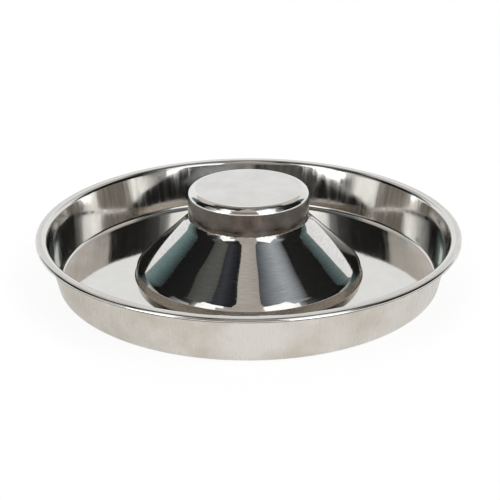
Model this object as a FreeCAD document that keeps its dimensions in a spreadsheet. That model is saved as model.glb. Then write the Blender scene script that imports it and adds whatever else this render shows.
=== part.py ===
import FreeCAD, Part
import math
import os
import Sketcher
from FreeCAD import Vector

# Slow feeder dog bowl, drawn from one disc of stainless sheet. Millimetres, +Z up.
# The origin is on the axis, in the plane that the bowl stands on, and heights start there.
#
# From the axis outwards the sheet makes a flat cap, the cap's rounded edge and side, a tight
# seam, the cone's flank, a steep foot band, the feeding floor, the wall, the flange and its hem.

# Driving sizes: alias, value, what it measures. They are sizes of the sheet's upper face, and
# a bend is measured from the corner where its two straight stretches would meet.
driving_sizes = [
    ("sheet", 0.5, "thickness of the sheet"),
    ("rim_diameter", 290.0, "outer edge of the flange"),
    ("rim_height", 35.0, "top face of the flange"),
    ("hem_width", 4.0, "how far the hem is turned back under the flange"),
    ("flange_width", 7.0, "outer edge to the corner of flange and wall"),
    ("wall_lean", 7.1, "how far the wall comes in from there to the floor"),
    ("base_bend", 5.0, "bend from wall to floor"),
    ("ring_width", 51.8, "feeding floor, from the wall's corner to the foot band's"),
    ("band_lean", 1.1, "how far the foot band comes in over its height"),
    ("band_height", 6.0, "height of the foot band over the floor"),
    ("cap_diameter", 82.8, "side of the cap"),
    ("cap_rise", 20.3, "top of the cap over the seam"),
    ("cap_bend", 6.3, "rounded edge of the cap"),
    ("seam_height", 42.2, "corner of flank and cap side"),
]

# Values worked out from the driving sizes, as formulas of the same spreadsheet.
worked_out_sizes = [
    ("rim_radius", "=rim_diameter / 2"),
    ("hem_end_radius", "=rim_radius - hem_width"),
    ("mouth_radius", "=rim_radius - flange_width"),
    ("base_radius", "=mouth_radius - wall_lean"),
    ("foot_radius", "=base_radius - ring_width"),
    ("band_radius", "=foot_radius - band_lean"),
    ("band_level", "=sheet + band_height"),
    ("cap_radius", "=cap_diameter / 2"),
    ("cap_top", "=seam_height + cap_rise"),
    ("flange_underside", "=rim_height - sheet"),
    ("hem_underside", "=rim_height - 2 * sheet"),
]

# The corners of the upper face, from the cap outwards: name, alias of the distance from the
# axis, alias of the height, alias of the bend. The four tight ones, under a millimetre on the
# inside, are mitred and have no bend. A bend that bulges has its centre under the sheet, so
# the lower face is the tighter one.
sheet_corners = [
    ("cap_edge", "cap_radius", "cap_top", "cap_bend", "bulges"),
    ("seam", "cap_radius", "seam_height", None, None),
    ("band", "band_radius", "band_level", None, None),
    ("foot", "foot_radius", "sheet", None, None),
    ("base", "base_radius", "sheet", "base_bend", "hollow"),
    ("mouth", "mouth_radius", "rim_height", None, None),
]


def add_size_sheet(doc):
    sheet = doc.addObject("Spreadsheet::Sheet", "Sizes")
    rows = [(alias, str(value), meaning) for alias, value, meaning in driving_sizes]
    rows += [(alias, formula, "worked out") for alias, formula in worked_out_sizes]
    for row, (alias, content, meaning) in enumerate(rows, start=1):
        sheet.set(f"A{row}", content)
        sheet.setAlias(f"A{row}", alias)
        sheet.set(f"B{row}", meaning)
    doc.recompute()
    return sheet


def rounded_corner(before, corner, after, bend):
    """Centre of a bend that touches both straight stretches, and the two points it touches."""
    back = (before - corner).normalize()
    on = (after - corner).normalize()
    half = back.getAngle(on) / 2
    middle = (back + on).normalize()
    reach = bend / math.tan(half)
    return corner + middle * (bend / math.sin(half)), corner + back * reach, corner + on * reach


def mitred_corner(before, corner, after, thickness):
    """Corner of the lower face, one thickness from both straight stretches of the upper one."""
    inward = (corner - before).normalize()
    outward = (after - corner).normalize()
    below = [Vector(along.y, -along.x, 0) for along in (inward, outward)]
    return corner + (below[0] + below[1]) * (thickness / (1 + below[0].dot(below[1])))


def arc_between(centre, first, last):
    """Arc about a centre, running anticlockwise from the first point to the last."""
    circle = Part.Circle(centre, Vector(0, 0, 1), (first - centre).Length)
    angles = [math.atan2(point.y - centre.y, point.x - centre.x) for point in (first, last)]
    return Part.ArcOfCircle(circle, *angles)


class SheetSection:
    """Closed half section of the sheet in its body's XZ plane: x is the radius, y the height."""

    # How a sketch names a point of a piece of geometry, its own origin and its upright axis.
    start, end, centre = 1, 2, 3
    origin, upright = -1, -2

    def __init__(self, sketch, sheet):
        self.sketch = sketch
        self.sheet = sheet
        self.spots = []
        self.sharp = []
        self.corners = []

    def size(self, alias):
        return float(self.sheet.get(alias))

    def line(self, first, last):
        return self.sketch.addGeometry(Part.LineSegment(first, last), False)

    def arc(self, centre, first, last):
        return self.sketch.addGeometry(arc_between(centre, first, last), False)

    def tie(self, kind, *where):
        return self.sketch.addConstraint(Sketcher.Constraint(kind, *where))

    def bind(self, name, formula, kind, *where):
        """A dimension that follows a formula of the size sheet."""
        index = self.tie(kind, *where)
        self.sketch.renameConstraint(index, name)
        self.sketch.setExpression(f"Constraints.{name}", formula)

    def place_across(self, name, alias, line, end):
        where = (self.origin, self.start, line, end, self.size(alias))
        self.bind(name, f"Sizes.{alias}", "DistanceX", *where)

    def place_up(self, name, alias, line, end):
        where = (self.origin, self.start, line, end, self.size(alias))
        self.bind(name, f"Sizes.{alias}", "DistanceY", *where)

    def add_sharp_points(self):
        for name, radius, level, bend, side in sheet_corners:
            spot = Vector(self.size(radius), self.size(level), 0)
            point = self.sketch.addGeometry(Part.Point(spot), True)
            self.place_across(f"{name}_corner_radius", radius, point, self.start)
            self.place_up(f"{name}_corner_level", level, point, self.start)
            self.spots.append(spot)
            self.sharp.append(point)

    def add_corners(self):
        """Both faces of every corner: a mitre, or two arcs about one centre, one sheet apart."""
        axis_top = Vector(0, self.spots[0].y, 0)
        rim = Vector(self.size("rim_radius"), self.size("rim_height"), 0)
        path = [axis_top] + self.spots + [rim]
        thickness = self.size("sheet")
        for place, (name, radius, level, bend, side) in enumerate(sheet_corners):
            around = path[place:place + 3]
            if bend is None:
                lower = mitred_corner(*around, thickness)
                corner = {"top": [around[1], around[1]], "bottom": [lower, lower], "arcs": None}
            else:
                corner = self.add_bend(name, around, bend, side == "bulges", thickness)
            self.corners.append(corner)

    def add_bend(self, name, around, bend, bulges, thickness):
        upper = self.size(bend)
        lower = upper - thickness if bulges else upper + thickness
        centre, inner, outer = rounded_corner(*around, upper)
        touch = [inner, outer]
        under = [centre + (point - centre) * (lower / upper) for point in touch]
        near, far = (1, 0) if bulges else (0, 1)
        top = self.arc(centre, touch[near], touch[far])
        bottom = self.arc(centre, under[near], under[far])
        sign = "-" if bulges else "+"
        self.tie("Coincident", top, self.centre, bottom, self.centre)
        self.bind(f"{name}_upper", f"Sizes.{bend}", "Radius", top, upper)
        self.bind(f"{name}_lower", f"Sizes.{bend} {sign} Sizes.sheet", "Radius", bottom, lower)
        ends = (self.end, self.start) if bulges else (self.start, self.end)
        return {"top": touch, "bottom": under, "arcs": {"top": top, "bottom": bottom}, "ends": ends}

    def join(self, line, end, face, place):
        """Ties one end of a straight stretch to the corner there."""
        corner = self.corners[place]
        if corner["arcs"]:
            arc_end = corner["ends"][1 if end == self.start else 0]
            self.tie("Tangent", line, end, corner["arcs"][face], arc_end)
            if face == "top":
                self.tie("PointOnObject", self.sharp[place], self.start, line)
        elif face == "top":
            self.tie("Coincident", line, end, self.sharp[place], self.start)
        elif end == self.start:
            self.tie("Coincident", line, end, self.last_lower, self.end)

    def add_cap_top(self):
        """Both faces of the flat top, closed along the axis."""
        first = self.corners[0]
        faces = []
        for face in ("top", "bottom"):
            reach = first[face][0]
            line = self.line(Vector(0, reach.y, 0), reach)
            self.tie("PointOnObject", line, self.start, self.upright)
            self.tie("Horizontal", line)
            self.join(line, self.end, face, 0)
            faces.append(line)
        closing = self.line(Vector(0, first["bottom"][0].y, 0), Vector(0, first["top"][0].y, 0))
        self.tie("Coincident", closing, self.start, faces[1], self.start)
        self.tie("Coincident", closing, self.end, faces[0], self.start)

    def add_stretches(self):
        """Straight stretches between neighbouring corners, on the upper and the lower face."""
        for place in range(len(self.corners) - 1):
            near, far = self.corners[place:place + 2]
            lines = {}
            for face in ("top", "bottom"):
                lines[face] = self.line(near[face][1], far[face][0])
                self.join(lines[face], self.start, face, place)
                self.join(lines[face], self.end, face, place + 1)
            self.last_lower = lines["bottom"]
            if not (near["arcs"] and far["arcs"]):
                self.tie("Parallel", lines["top"], lines["bottom"])
            if not (near["arcs"] or far["arcs"]):
                where = (lines["bottom"], self.start, lines["top"], self.size("sheet"))
                self.bind(f"thickness_{place}", "Sizes.sheet", "Distance", *where)

    def add_flange(self):
        """Flange, and the hem that is turned under it at the rim and pressed flat against it."""
        mouth = self.corners[-1]
        rim, hem_end = self.size("rim_radius"), self.size("hem_end_radius")
        high, middle, low = [self.size(level) for level in ("rim_height", "flange_underside",
                                                            "hem_underside")]
        top = self.line(mouth["top"][1], Vector(rim, high, 0))
        underside = self.line(mouth["bottom"][1], Vector(hem_end, middle, 0))
        hem_edge = self.line(Vector(hem_end, middle, 0), Vector(hem_end, low, 0))
        hem_underside = self.line(Vector(hem_end, low, 0), Vector(rim, low, 0))
        rim_edge = self.line(Vector(rim, low, 0), Vector(rim, high, 0))
        self.join(top, self.start, "top", len(self.corners) - 1)
        self.join(underside, self.start, "bottom", len(self.corners) - 1)
        self.tie("Coincident", underside, self.end, hem_edge, self.start)
        self.tie("Coincident", hem_edge, self.end, hem_underside, self.start)
        self.tie("Coincident", hem_underside, self.end, rim_edge, self.start)
        self.tie("Coincident", rim_edge, self.end, top, self.end)
        for level_line in (top, underside, hem_underside):
            self.tie("Horizontal", level_line)
        for upright_line in (hem_edge, rim_edge):
            self.tie("Vertical", upright_line)
        self.place_across("rim", "rim_radius", rim_edge, self.start)
        self.place_across("hem_end", "hem_end_radius", hem_edge, self.start)
        self.place_up("flange_underside", "flange_underside", underside, self.end)
        self.place_up("hem_underside", "hem_underside", hem_underside, self.start)


def add_bowl(doc, sheet):
    body = doc.addObject("PartDesign::Body", "Bowl")
    body.Label = "bowl"
    upright_plane = next(f for f in body.Origin.OriginFeatures if f.Role == "XZ_Plane")
    sketch = body.newObject("Sketcher::SketchObject", "SheetSketch")
    sketch.AttachmentSupport = [(upright_plane, "")]
    sketch.MapMode = "FlatFace"
    doc.recompute()
    section = SheetSection(sketch, sheet)
    section.add_sharp_points()
    section.add_corners()
    section.add_cap_top()
    section.add_stretches()
    section.add_flange()
    doc.recompute()
    drawn = body.newObject("PartDesign::Revolution", "DrawnSheet")
    drawn.Profile = sketch
    drawn.ReferenceAxis = (sketch, ["V_Axis"])
    drawn.Angle = 360
    sketch.Visibility = False
    body.Placement = FreeCAD.Placement(Vector(0, 0, 0), FreeCAD.Rotation())
    doc.recompute()
    return body, sketch


def check_model(doc, bodies, sketch):
    for item in doc.Objects:
        if any(word in state for state in item.State for word in ("Invalid", "Error")):
            raise RuntimeError(f"{item.Name} did not compute: {item.State}")
    if sketch.solve() != 0 or not sketch.FullyConstrained:
        raise RuntimeError("the sheet's section is not fully constrained")
    for body in bodies:
        if body.Shape.isNull() or not body.Shape.isValid() or len(body.Shape.Solids) != 1:
            raise RuntimeError(f"{body.Label} is not one valid solid")


def main():
    doc = FreeCAD.newDocument("SlowFeederBowl")
    sheet = add_size_sheet(doc)
    bowl, sketch = add_bowl(doc, sheet)
    check_model(doc, [bowl], sketch)
    os.makedirs("parts", exist_ok=True)
    for body in [bowl]:
        body.Shape.exportStep(f"parts/{body.Label}.step")
        box = body.Shape.BoundBox
        print(body.Label, round(box.XLength, 3), round(box.YLength, 3), round(box.ZLength, 3),
              "volume", round(body.Shape.Volume, 1))


main()
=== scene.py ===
import math
import bpy
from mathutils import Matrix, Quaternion, Vector


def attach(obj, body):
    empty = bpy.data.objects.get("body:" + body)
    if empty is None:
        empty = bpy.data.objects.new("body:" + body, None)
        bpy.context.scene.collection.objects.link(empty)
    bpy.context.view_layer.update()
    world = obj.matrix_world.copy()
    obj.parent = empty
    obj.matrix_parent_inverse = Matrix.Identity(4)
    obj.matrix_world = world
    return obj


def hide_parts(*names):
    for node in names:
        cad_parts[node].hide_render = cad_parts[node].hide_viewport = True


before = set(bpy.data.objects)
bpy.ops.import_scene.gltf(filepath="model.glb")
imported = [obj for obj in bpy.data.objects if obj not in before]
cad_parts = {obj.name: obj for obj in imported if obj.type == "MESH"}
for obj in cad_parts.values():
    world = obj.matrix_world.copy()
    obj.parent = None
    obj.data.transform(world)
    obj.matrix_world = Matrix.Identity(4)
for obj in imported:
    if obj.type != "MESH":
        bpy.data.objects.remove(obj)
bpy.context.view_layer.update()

scene = bpy.context.scene
print("frame loaded:", sorted(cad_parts))

photoView = {
    "place": (0.0, -0.6991, 0.3164),
    "aim": (0.00090, 0.0, 0.01580),  # where the picture's middle meets the bowl's upright plane
    "lens": 78.64,                   # millimetres, as the sensor
    "sensor": 36.0,
    "roll": -0.21,                   # degrees
}


def setCamera(view):
    data = bpy.data.cameras.new("photoCamera")
    data.lens = view["lens"]
    data.sensor_width = view["sensor"]
    camera = bpy.data.objects.new("photoCamera", data)
    scene.collection.objects.link(camera)
    camera.location = view["place"]
    look = (Vector(view["aim"]) - Vector(view["place"])).to_track_quat("-Z", "Y")
    camera.rotation_mode = "QUATERNION"
    camera.rotation_quaternion = look @ Quaternion((0, 0, 1), math.radians(view["roll"]))
    scene.camera = camera


setCamera(photoView)
print("camera set")

bowl = {
    "sheet": 0.0005,     # thickness of the steel
    "slices": 360,       # faces around the bowl
    "bendStep": 7.0,     # degrees of bend per face
    "leastSteps": 3,     # faces in the smallest bend
    "hemSteps": 12,      # faces around the folded edge
    # upper face of the sheet from the axis outwards: zone that starts here, radius, height, bend
    "corners": [
        ("capTop", 0.0, 0.0625, 0.0),
        ("capSide", 0.0414, 0.0625, 0.0052),
        ("flankTop", 0.0414, 0.0422, 0.0008),
        ("flank", 0.0430, 0.0398, 0.0200),
        ("flankFoot", 0.0764, 0.0088, 0.0200),
        ("footBand", 0.0780, 0.0065, 0.0010),
        ("floor", 0.0791, 0.0005, 0.0008),
        ("wall", 0.1309, 0.0005, 0.0032),
        ("flange", 0.1379, 0.0350, 0.0036),
        ("rimCurl", 0.1450, 0.0350, 0.0018),
        ("hem", 0.1450, 0.0331, 0.0),
    ],
}


def rotated(vector, angle):
    c, s = math.cos(angle), math.sin(angle)
    return Vector((vector.x * c - vector.y * s, vector.x * s + vector.y * c))


# Points along the sheet's upper face, each with the direction that its face looks and its zone.
# Every corner becomes a bend that runs from straight to straight.
def sheetPath(part):
    corners = part["corners"]
    spots = [Vector((radius, height)) for zone, radius, height, bend in corners]
    runs = [(spots[i + 1] - spots[i]).normalized() for i in range(len(spots) - 1)]
    stations = []
    for i, (zone, radius, height, bend) in enumerate(corners):
        if i == 0:
            stations.append((spots[0], Vector((-runs[0].y, runs[0].x)), zone))
            continue
        if i == len(corners) - 1:
            break
        before, after = runs[i - 1], runs[i]
        turn = math.atan2(before.x * after.y - before.y * after.x, before.dot(after))
        reach = bend * math.tan(abs(turn) / 2)
        normal = Vector((-before.y, before.x))
        side = -1.0 if turn < 0 else 1.0
        centre = spots[i] - before * reach + normal * (side * bend)
        steps = max(part["leastSteps"], math.ceil(math.degrees(abs(turn)) / part["bendStep"]))
        for step in range(steps + 1):
            tilted = rotated(normal, turn * step / steps)
            here = zone if step == steps else "bend " + zone
            stations.append((centre - tilted * (side * bend), tilted, here))
    return stations


# The sheet's edge is folded back on itself, half a turn around its lower face.
def hemStations(part):
    sheet = part["sheet"]
    end, before = [Vector(corner[1:3]) for corner in (part["corners"][-1], part["corners"][-2])]
    run = (end - before).normalized()
    outward = Vector((-run.y, run.x))
    centre = end - outward * sheet
    stations = []
    for step in range(part["hemSteps"] + 1):
        tilted = rotated(outward, -math.pi * step / part["hemSteps"])
        stations.append((centre + tilted * sheet, tilted, "hem fold"))
    return stations


# The whole section: upper face, folded edge, and the lower face one thickness below.
def sectionFaces(part):
    upper = sheetPath(part)
    hem = hemStations(part)
    lower = [(point - normal * part["sheet"], -normal, "underside")
             for point, normal, zone in reversed(upper)]
    strips = []
    for near, far in zip(upper + hem, (upper + hem)[1:]):
        strips.append((near, far, near[2]))
    strips.append((hem[-1], lower[0], "underside"))
    for near, far in zip(lower, lower[1:]):
        strips.append((near, far, "underside"))
    return strips


# finish of each zone and bend; the foot band's and the folded rim edge's colours hold painted
# reflection and painted shade
zoneMaterial = {
    "capTop": "satinCap", "bend capSide": "satinEdge", "capSide": "capWall",
    "bend flankTop": "weldSeam",
    "flankTop": "polishedCone", "bend flank": "polishedCone", "flank": "polishedCone",
    "bend flankFoot": "polishedCone", "flankFoot": "polishedCone",
    "bend footBand": "satinFlange", "footBand": "satinBand", "bend floor": "satinBand",
    "floor": "mirror", "bend wall": "mirror", "wall": "polishedWall", "bend flange": "mirror",
    "flange": "satinFlange", "bend rimCurl": "polishedRim",
    "rimCurl": "hemFold", "hem fold": "hemFold", "underside": "satinOutside",
}


# Spins the section around the axis, with a map of angle and length along the sheet.
def spinBowl(part):
    strips = sectionFaces(part)
    slices = part["slices"]
    onAxis = 1e-6        # a ring smaller than this is one point
    rings, keys = [], {}

    def ringOf(point):
        key = (round(point.x, 7), round(point.y, 7))
        if key not in keys:
            keys[key] = len(rings)
            rings.append(point)
        return keys[key]

    pairs = [(ringOf(near[0]), ringOf(far[0])) for near, far, zone in strips]
    vertices, firsts = [], []
    for point in rings:
        firsts.append(len(vertices))
        if point.x < onAxis:
            vertices.append((0.0, 0.0, point.y))
            continue
        for i in range(slices):
            angle = 2 * math.pi * i / slices
            vertices.append((point.x * math.cos(angle), point.x * math.sin(angle), point.y))
    names = sorted(set(zoneMaterial.values()))
    faces, loops, zones, maps = [], [], [], []
    run = 0.0
    for (near, far, zone), (a, b) in zip(strips, pairs):
        length = (far[0] - near[0]).length
        for i in range(slices):
            j = (i + 1) % slices
            here, there = 2 * math.pi * i / slices, 2 * math.pi * (i + 1) / slices
            corners = [(a, near, i, here, run), (b, far, i, here, run + length),
                       (b, far, j, there, run + length), (a, near, j, there, run)]
            if rings[a].x < onAxis:
                corners = [corners[0], corners[1], corners[2]]
            if rings[b].x < onAxis:
                corners = [corners[0], corners[1], corners[3]]
            face = []
            for ring, station, slot, angle, along in corners:
                face.append(firsts[ring] + (slot if rings[ring].x > onAxis else 0))
                normal = station[1]
                loops.append((normal.x * math.cos(angle), normal.x * math.sin(angle), normal.y))
                maps.append((angle / (2 * math.pi), along))
            faces.append(face)
            zones.append(names.index(zoneMaterial[zone]))
        run += length
    mesh = bpy.data.meshes.new("drawnBowl")
    mesh.from_pydata(vertices, [], faces)
    for polygon, zone in zip(mesh.polygons, zones):
        polygon.use_smooth = True
        polygon.material_index = zone
    mapLayer = mesh.uv_layers.new(name="sheetMap")
    for loop, spot in zip(mapLayer.data, maps):
        loop.uv = spot
    mesh.normals_split_custom_set(loops)
    mesh.update()
    piece = bpy.data.objects.new("drawnBowl", mesh)
    scene.collection.objects.link(piece)
    return piece, names


drawnBowl, materialNames = spinBowl(bowl)
print("bowl spun:", len(drawnBowl.data.polygons), "faces")

# What each zone's steel looks like. The tint goes from deep to pale with soft clouds and brush
# lines (lineTint is the lines' share), and along the lines the polish goes from smooth to rough.
# around and along say how tight the lines are, round the bowl and along the sheet. Lengths are
# in metres.
finishes = {
    "mirror": {  # feeding floor, and the bends at the foot and mouth of the wall
        "pale": (0.70, 0.695, 0.675), "deep": (0.66, 0.655, 0.635), "lineTint": 0.2,
        "smooth": 0.03, "rough": 0.09, "around": 9, "along": 1700,
        "lineDepth": 2.6e-6, "cloudSize": 0.022, "waveDepth": 2.2e-4,
    },
    "polishedCone": {  # cone, with turning lines
        "pale": (0.72, 0.715, 0.70), "deep": (0.62, 0.615, 0.60), "lineTint": 0.75,
        "smooth": 0.012, "rough": 0.09, "around": 10, "along": 1300,
        "lineDepth": 4.0e-6, "cloudSize": 0.015, "waveDepth": 2.6e-4,
    },
    "polishedWall": {  # inside of the wall, brushed upright and a little wavy
        "pale": (0.80, 0.79, 0.77), "deep": (0.71, 0.695, 0.67), "lineTint": 0.3,
        "smooth": 0.05, "rough": 0.14, "around": 45, "along": 40,
        "lineDepth": 6.0e-6, "cloudSize": 0.022, "waveDepth": 3.5e-4,
    },
    "polishedRim": {  # curl of the rim
        "pale": (0.68, 0.67, 0.65), "deep": (0.58, 0.57, 0.55), "lineTint": 0.2,
        "smooth": 0.06, "rough": 0.14, "around": 12, "along": 2500,
        "lineDepth": 2.0e-6, "cloudSize": 0.012, "waveDepth": 1.5e-5,
    },
    "satinCap": {  # top of the cap
        "pale": (0.695, 0.69, 0.68), "deep": (0.615, 0.605, 0.585), "lineTint": 0.2,
        "smooth": 0.12, "rough": 0.22, "around": 5, "along": 900,
        "lineDepth": 1.5e-6, "cloudSize": 0.022, "waveDepth": 5.0e-5,
    },
    "satinEdge": {  # rounded edge of the cap
        "pale": (0.78, 0.77, 0.75), "deep": (0.68, 0.665, 0.64), "lineTint": 0.2,
        "smooth": 0.05, "rough": 0.12, "around": 12, "along": 2500,
        "lineDepth": 2.0e-6, "cloudSize": 0.020, "waveDepth": 4.0e-5,
    },
    "capWall": {  # side of the cap
        "pale": (0.80, 0.785, 0.77), "deep": (0.45, 0.385, 0.36), "lineTint": 0.2,
        "smooth": 0.03, "rough": 0.11, "around": 8, "along": 2300,
        "lineDepth": 2.0e-6, "cloudSize": 0.022, "waveDepth": 3.0e-5,
    },
    "weldSeam": {  # seam under the cap, rough with specks
        "pale": (0.95, 0.93, 0.90), "deep": (0.10, 0.085, 0.07), "lineTint": 0.1,
        "smooth": 0.10, "rough": 0.45, "around": 60, "along": 900,
        "lineDepth": 2.0e-5, "cloudSize": 0.0022, "waveDepth": 2.0e-4,
    },
    "satinBand": {  # steep foot band and the bend into the floor, satin with brush lines; its dull brown tint is a painted reflection of the bowl's own floor
        "pale": (0.50, 0.455, 0.40), "deep": (0.36, 0.31, 0.265), "lineTint": 0.6,
        "smooth": 0.16, "rough": 0.30, "around": 7, "along": 1500,
        "lineDepth": 2.5e-6, "cloudSize": 0.018, "waveDepth": 1.5e-5,
    },
    "satinFlange": {  # flange, and the bend over the foot band
        "pale": (0.68, 0.67, 0.65), "deep": (0.56, 0.545, 0.52), "lineTint": 0.6,
        "smooth": 0.12, "rough": 0.28, "around": 14, "along": 2600,
        "lineDepth": 2.0e-6, "cloudSize": 0.030, "waveDepth": 1.0e-5,
    },
    "hemFold": {  # edge of the sheet, folded back, and the rim's curl; painted shade: the near-black tint stands in for the shadowed table under the rim reflected in the fold
        "pale": (0.13, 0.12, 0.11), "deep": (0.04, 0.035, 0.03), "lineTint": 0.3,
        "smooth": 0.3, "rough": 0.5, "around": 40, "along": 900,
        "lineDepth": 3.0e-6, "cloudSize": 0.010, "waveDepth": 1.0e-5,
    },
    "satinOutside": {  # outside of the wall and the underside
        "pale": (0.675, 0.65, 0.605), "deep": (0.53, 0.485, 0.42), "lineTint": 0.08,
        "smooth": 0.26, "rough": 0.34, "around": 150, "along": 30,
        "lineDepth": 1.2e-6, "cloudSize": 0.040, "waveDepth": 3.0e-5,
    },
}


def node(tree, kind, sockets=(), **settings):
    made = tree.nodes.new("ShaderNode" + kind)
    for name, value in settings.items():
        setattr(made, name, value)
    for name, value in dict(sockets).items():
        made.inputs[name].default_value = value
    return made


grain = {
    "lineDetail": 3.0, "cloudDetail": 4.0, "cloudRoughness": 0.6, "waveDetail": 1.0,
    "waveSize": 2.0,                 # waves are this many times as wide as clouds
    "tintRange": (0.36, 0.62),       # noise that gives deep, and noise that gives pale
    "polishRange": (0.35, 0.68),     # noise that gives smooth, and noise that gives rough
}


def finishSteel(name, look):
    material = bpy.data.materials.new(name)
    material.use_nodes = True
    tree = material.node_tree
    join = tree.links.new
    shader = tree.nodes["Principled BSDF"]
    shader.inputs["Metallic"].default_value = 1.0
    place = node(tree, "TexCoord")
    # where a brush line lies: direction from the axis, and length along the sheet
    level = node(tree, "VectorMath", {1: (1, 1, 0)}, operation="MULTIPLY")
    aside = node(tree, "VectorMath", operation="NORMALIZE")
    turned = node(tree, "VectorMath", {"Scale": look["around"]}, operation="SCALE")
    sheetMap = node(tree, "UVMap", uv_map="sheetMap")
    alongSheet = node(tree, "VectorMath", {1: (0, look["along"], 0)}, operation="MULTIPLY")
    upright = node(tree, "VectorRotate", {"Angle": math.pi / 2}, rotation_type="X_AXIS")
    spot = node(tree, "VectorMath", operation="ADD")
    join(place.outputs["Object"], level.inputs[0])
    join(level.outputs[0], aside.inputs[0])
    join(aside.outputs[0], turned.inputs[0])
    join(sheetMap.outputs[0], alongSheet.inputs[0])
    join(alongSheet.outputs[0], upright.inputs["Vector"])
    join(turned.outputs[0], spot.inputs[0])
    join(upright.outputs[0], spot.inputs[1])
    lines = node(tree, "TexNoise", {"Scale": 1.0, "Detail": grain["lineDetail"]})
    clouds = node(tree, "TexNoise", {"Scale": 1 / look["cloudSize"], "Detail": grain["cloudDetail"],
                                     "Roughness": grain["cloudRoughness"]})
    waves = node(tree, "TexNoise", {"Scale": 1 / (grain["waveSize"] * look["cloudSize"]),
                                    "Detail": grain["waveDetail"]})
    join(spot.outputs[0], lines.inputs["Vector"])
    join(place.outputs["Object"], clouds.inputs["Vector"])
    join(place.outputs["Object"], waves.inputs["Vector"])
    # tint: clouds with some of the brush lines in them
    blend = node(tree, "Mix", {"Factor": look["lineTint"]}, data_type="FLOAT")
    low, high = grain["tintRange"]
    spread = node(tree, "MapRange", {"From Min": low, "From Max": high})
    tint = node(tree, "Mix", data_type="RGBA")
    tint.inputs["A"].default_value = (*look["deep"], 1)
    tint.inputs["B"].default_value = (*look["pale"], 1)
    join(clouds.outputs["Fac"], blend.inputs["A"])
    join(lines.outputs["Fac"], blend.inputs["B"])
    join(blend.outputs["Result"], spread.inputs["Value"])
    join(spread.outputs["Result"], tint.inputs["Factor"])
    join(tint.outputs["Result"], shader.inputs["Base Color"])
    low, high = grain["polishRange"]
    polish = node(tree, "MapRange", {"From Min": low, "From Max": high,
                                     "To Min": look["smooth"], "To Max": look["rough"]})
    join(lines.outputs["Fac"], polish.inputs["Value"])
    join(polish.outputs["Result"], shader.inputs["Roughness"])
    # relief in metres
    fine = node(tree, "Math", {1: look["lineDepth"]}, operation="MULTIPLY")
    broad = node(tree, "Math", {1: look["waveDepth"]}, operation="MULTIPLY_ADD")
    relief = node(tree, "Bump", {"Distance": 1.0})
    join(lines.outputs["Fac"], fine.inputs[0])
    join(waves.outputs["Fac"], broad.inputs[0])
    join(fine.outputs[0], broad.inputs[2])
    join(broad.outputs[0], relief.inputs["Height"])
    join(relief.outputs[0], shader.inputs["Normal"])
    return material


for name in materialNames:
    drawnBowl.data.materials.append(finishSteel(name, finishes[name]))
print("finishes:", ", ".join(materialNames))

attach(drawnBowl, "root")
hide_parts("bowl")

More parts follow.
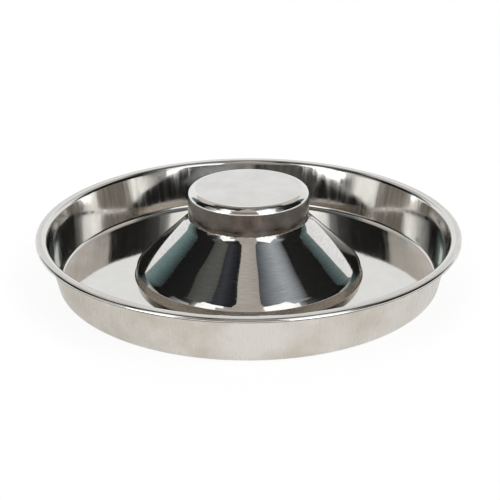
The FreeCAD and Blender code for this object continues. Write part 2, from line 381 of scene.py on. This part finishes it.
# Cards stand on a dome around the bowl and only show in its polish. Bearings are degrees from the
# back of the set (+Y) towards the right, heights are degrees over the table. A card that stands
# nearer hides what is behind it.
studio = {
    "domeRadius": 4.0,
    "across": 24, "up": 12,          # faces of a card
    "warmth": 0.985,                 # blue's share where a glow is one number
    "cards": [
        # name, foot (bearing, height, bearing, height), head (the same), nearer by,
        # glows from the first bearing to the last
        ("softboxRight", (130, 20, 163, 20), (118, 47, 163, 47), 0.30, [1.2, 1.5, 1.5, 1.5]),
        ("patchRight", (124, 46, 164, 46), (124, 60, 161, 54), 0.34, [1.5, 1.5]),
        ("patchLeft", (-150, 46, -120, 46), (-147, 53, -120, 53), 0.34, [1.5, 1.5]),
        ("haloRight", (118, 24, 130, 24), (108, 47, 127, 47), 0.25, [0.05, 0.35, 0.7]),
        ("haloLeft", (-127, 24, -118, 24), (-127, 47, -108, 47), 0.25, [0.7, 0.35, 0.05]),
        ("softboxRightFoot", (129, 9, 161, 9), (130, 20, 163, 20), 0.30,
         [1.0, 1.35, 1.35, 1.35, 1.35]),
        ("footlightRight", (128, -2, 160, -2), (129, 9, 161, 9), 0.30, [1.2, 4.4, 5.4, 5.4, 4.4]),
        ("softboxLeft", (-149, 20, -125, 20), (-140, 47, -118, 47), 0.30, [1.5, 1.5, 1.2]),
        ("softboxLeftFoot", (-145, 9, -121, 9), (-147, 20, -125, 20), 0.30, [1.35, 1.35]),
        ("footlightLeft", (-143, -2, -118, -2), (-145, 9, -121, 9), 0.30, [5.2, 5.2]),
        ("spillLeft", (-125, -2, -92, -2), (-131, 34, -92, 34), 0.20,
         [1.5, 0.85, 0.5, 0.3, 0.14]),
        ("spillRight", (112, -2, 130, -2), (112, 30, 130, 30), 0.20, [0.12, 0.22, 0.5]),
        ("cameraLow", (150, -2, 215, -2), (150, 11, 215, 11), 0.20, [(0.42, 0.39, 0.36)]),
        ("cameraMiddle", (150, 11, 215, 11), (150, 34, 215, 34), 0.20,
         [(0.55, 0.5, 0.45), (0.25, 0.225, 0.2), (0.24, 0.215, 0.19), (0.25, 0.225, 0.2),
          (0.26, 0.23, 0.21)]),
        ("cameraHigh", (155, 34, 225, 34), (155, 52, 225, 52), 0.20, [(0.53, 0.485, 0.44)]),
        ("cameraCollar", (158, 46, 206, 46), (165, 66, 197, 66), 0.33, [(0.50, 0.455, 0.415)]),
        ("cameraTop", (160, 52, 203, 52), (160, 90, 203, 90), 0.30,
         [(0.46, 0.42, 0.39), (0.54, 0.49, 0.44), (0.56, 0.51, 0.455)]),
        ("screenRight", (97, 45, 161, 49), (97, 90, 161, 90), 0.10,
         [(0.07, 0.07, 0.07), (0.31, 0.33, 0.35), (0.43, 0.455, 0.48), (0.44, 0.47, 0.50),
          (0.36, 0.385, 0.41), (0.28, 0.305, 0.33), (0.20, 0.22, 0.24), (0.13, 0.145, 0.16),
          (0.08, 0.08, 0.08)]),
        ("screenLeft", (-158, 49, -123, 47), (-158, 90, -123, 90), 0.10,
         [(0.02, 0.02, 0.022), (0.02, 0.02, 0.024), (0.034, 0.036, 0.044), (0.056, 0.06, 0.07),
          (0.04, 0.042, 0.048)]),
        ("stripeLeft", (-123, 47, -95, 45), (-123, 90, -95, 90), 0.10,
         [(0.11, 0.112, 0.104), (0.125, 0.127, 0.118), (0.115, 0.115, 0.108),
          (0.08, 0.08, 0.075)]),
        ("flagRight", (67, -2, 130, -2), (67, 90, 130, 90), 0.0,
         [(0.012, 0.012, 0.012), (0.022, 0.022, 0.021)]),
        ("flagLeft", (-118, -2, -68, -2), (-118, 90, -68, 90), 0.0,
         [(0.016, 0.016, 0.015), (0.011, 0.011, 0.011)]),
        ("greyRight", (68, 27, 130, 27), (68, 52, 130, 52), 0.05,
         [(0.015, 0.015, 0.014), (0.022, 0.022, 0.022), (0.16, 0.16, 0.165)]),
        ("greyLeft", (-130, 27, -69, 27), (-130, 52, -69, 52), 0.05,
         [(0.16, 0.16, 0.165), (0.02, 0.02, 0.02), (0.013, 0.013, 0.013)]),
        ("tealRight", (53, 6, 67, 6), (53, 60, 67, 60), 0.05,
         [(0.21, 0.25, 0.255), (0.11, 0.16, 0.16), (0.045, 0.065, 0.063)]),
        ("tealLeft", (-68, 6, -46, 6), (-68, 60, -46, 60), 0.05,
         [(0.03, 0.042, 0.04), (0.095, 0.14, 0.14), (0.17, 0.26, 0.255), (0.25, 0.33, 0.31)]),
        ("beigeRight", (8, 28, 66, 37), (8, 56, 80, 56), 0.15,
         [(0.72, 0.67, 0.62), (0.60, 0.56, 0.52)]),
        ("beigeLeft", (-66, 37, -8, 28), (-80, 56, -8, 56), 0.15,
         [(0.60, 0.56, 0.52), (0.72, 0.67, 0.62)]),
        ("ceiling", (-68, 56, 68, 56), (-68, 90, 68, 90), 0.0, [(0.30, 0.285, 0.27)]),
        ("zenithRight", (38, 82, 50, 82), (38, 84, 50, 84), 0.4, [(1.7, 1.4, 1.2)]),
        ("zenithLeft", (-50, 82, -38, 82), (-50, 84, -38, 84), 0.4, [(1.7, 1.4, 1.2)]),
    ],
}


def colourOf(glow):
    return glow if isinstance(glow, tuple) else (glow, glow, glow * studio["warmth"])


# Colour at a share of the way along the list of glows.
def glowAt(glows, share):
    spot = share * (len(glows) - 1)
    low = min(int(spot), max(0, len(glows) - 2))
    first, second = colourOf(glows[low]), colourOf(glows[min(low + 1, len(glows) - 1)])
    return [a + (b - a) * (spot - low) for a, b in zip(first, second)] + [1.0]


def addCard(name, foot, head, nearer, glows):
    radius = studio["domeRadius"] - nearer
    across, up = studio["across"], studio["up"]
    vertices, faces, lit = [], [], []
    for j in range(up + 1):
        rise = j / up
        for i in range(across + 1):
            share = i / across
            low = [foot[k] + (foot[k + 2] - foot[k]) * share for k in (0, 1)]
            high = [head[k] + (head[k + 2] - head[k]) * share for k in (0, 1)]
            bearing, height = [math.radians(a + (b - a) * rise) for a, b in zip(low, high)]
            level = radius * math.cos(height)
            vertices.append((level * math.sin(bearing), level * math.cos(bearing),
                             radius * math.sin(height)))
            lit.append(glowAt(glows, share))
    for j in range(up):
        for i in range(across):
            corner = j * (across + 1) + i
            faces.append((corner, corner + 1, corner + across + 2, corner + across + 1))
    mesh = bpy.data.meshes.new(name)
    mesh.from_pydata(vertices, [], faces)
    glowLayer = mesh.color_attributes.new("glow", "FLOAT_COLOR", "POINT")
    for spot, glow in zip(glowLayer.data, lit):
        spot.color = glow
    card = bpy.data.objects.new(name, mesh)
    scene.collection.objects.link(card)
    card.visible_camera = card.visible_diffuse = card.visible_shadow = False
    card.data.materials.append(cardGlow)


cardGlow = bpy.data.materials.new("cardGlow")
cardGlow.use_nodes = True
glowTree = cardGlow.node_tree
glowTree.nodes.clear()
glow = node(glowTree, "Attribute", attribute_name="glow")
lit = node(glowTree, "Emission")
glowTree.links.new(glow.outputs["Color"], lit.inputs["Color"])
glowTree.links.new(lit.outputs["Emission"], node(glowTree, "OutputMaterial").inputs["Surface"])
for card in studio["cards"]:
    addCard(*card)
print("studio cards:", len(studio["cards"]))

backdrop = {
    "white": (1, 1, 1), "whiteStrength": 1.0,          # what the camera and the polish see
    "fill": (0.8, 0.8, 0.8), "fillStrength": 0.35,     # what it gives to all other light
}


def hangBackdrop(look):
    world = bpy.data.worlds.new("whiteBackdrop")
    world.use_nodes = True
    tree = world.node_tree
    join = tree.links.new
    tree.nodes.clear()
    rays = node(tree, "LightPath")
    seen = node(tree, "Math", operation="MAXIMUM")
    seenThrough = node(tree, "Math", operation="MAXIMUM")
    fill = node(tree, "Background", {"Color": (*look["fill"], 1), "Strength": look["fillStrength"]})
    white = node(tree, "Background", {"Color": (*look["white"], 1),
                                      "Strength": look["whiteStrength"]})
    mix = node(tree, "MixShader")
    join(rays.outputs["Is Camera Ray"], seen.inputs[0])
    join(rays.outputs["Is Glossy Ray"], seen.inputs[1])
    join(seen.outputs[0], seenThrough.inputs[0])
    join(rays.outputs["Is Transmission Ray"], seenThrough.inputs[1])
    join(seenThrough.outputs[0], mix.inputs["Fac"])
    join(fill.outputs[0], mix.inputs[1])
    join(white.outputs[0], mix.inputs[2])
    join(mix.outputs[0], node(tree, "OutputWorld").inputs["Surface"])
    scene.world = world


hangBackdrop(backdrop)

table = {
    "side": 3.0,
    "drop": 0.0001,                  # top of the paper under the bowl's foot
    "paper": (0.86, 0.86, 0.86), "rough": 0.9,
    "ownWhite": 0.9,                 # share of the paper that is plain white to the camera
    "inPolish": 0.62,                # how much of that share shows in the steel
    "fade": (0.3, 0.9),              # from here to here the share grows to 1, so no edge shows
}


def paperFinish(look):
    material = bpy.data.materials.new("whitePaper")
    material.use_nodes = True
    tree = material.node_tree
    join = tree.links.new
    paper = tree.nodes["Principled BSDF"]
    paper.inputs["Base Color"].default_value = (*look["paper"], 1)
    paper.inputs["Roughness"].default_value = look["rough"]
    rays = node(tree, "LightPath")
    seen = node(tree, "Math", {1: look["inPolish"]}, operation="MULTIPLY_ADD")
    place = node(tree, "TexCoord")
    apart = node(tree, "VectorMath", operation="LENGTH")
    near, far = look["fade"]
    fade = node(tree, "MapRange", {"From Min": near, "From Max": far,
                                   "To Min": look["ownWhite"], "To Max": 1.0})
    share = node(tree, "Math", operation="MULTIPLY")
    even = node(tree, "Emission", {"Strength": 1.0})
    mix = node(tree, "MixShader")
    join(rays.outputs["Is Glossy Ray"], seen.inputs[0])
    join(rays.outputs["Is Camera Ray"], seen.inputs[2])
    join(place.outputs["Object"], apart.inputs[0])
    join(apart.outputs["Value"], fade.inputs["Value"])
    join(seen.outputs[0], share.inputs[0])
    join(fade.outputs["Result"], share.inputs[1])
    join(share.outputs[0], mix.inputs["Fac"])
    join(paper.outputs[0], mix.inputs[1])
    join(even.outputs[0], mix.inputs[2])
    join(mix.outputs[0], tree.nodes["Material Output"].inputs["Surface"])
    return material


half, top = table["side"] / 2, -table["drop"]
tableMesh = bpy.data.meshes.new("whiteTable")
tableMesh.from_pydata([(-half, -half, top), (half, -half, top), (half, half, top),
                       (-half, half, top)], [], [(0, 1, 2, 3)])
whiteTable = bpy.data.objects.new("whiteTable", tableMesh)
scene.collection.objects.link(whiteTable)
whiteTable.data.materials.append(paperFinish(table))
print("backdrop and table set")

lamps = {
    # name: place, size, watts
    "lampLeft": ((-1.1, -0.9, 1.4), 1.2, 18.0),
    "lampRight": ((1.1, -0.9, 1.4), 1.2, 27.0),
    "lampBack": ((0.0, 1.3, 1.5), 1.4, 18.0),
}
for name, (place, size, watts) in lamps.items():
    light = bpy.data.lights.new(name, "AREA")
    light.shape = "SQUARE"
    light.size = size
    light.energy = watts
    lamp = bpy.data.objects.new(name, light)
    scene.collection.objects.link(lamp)
    lamp.location = place
    lamp.rotation_mode = "QUATERNION"
    lamp.rotation_quaternion = (-Vector(place)).to_track_quat("-Z", "Y")
    lamp.visible_glossy = False
print("lamps set:", ", ".join(lamps))

scene.view_settings.view_transform = "Standard"
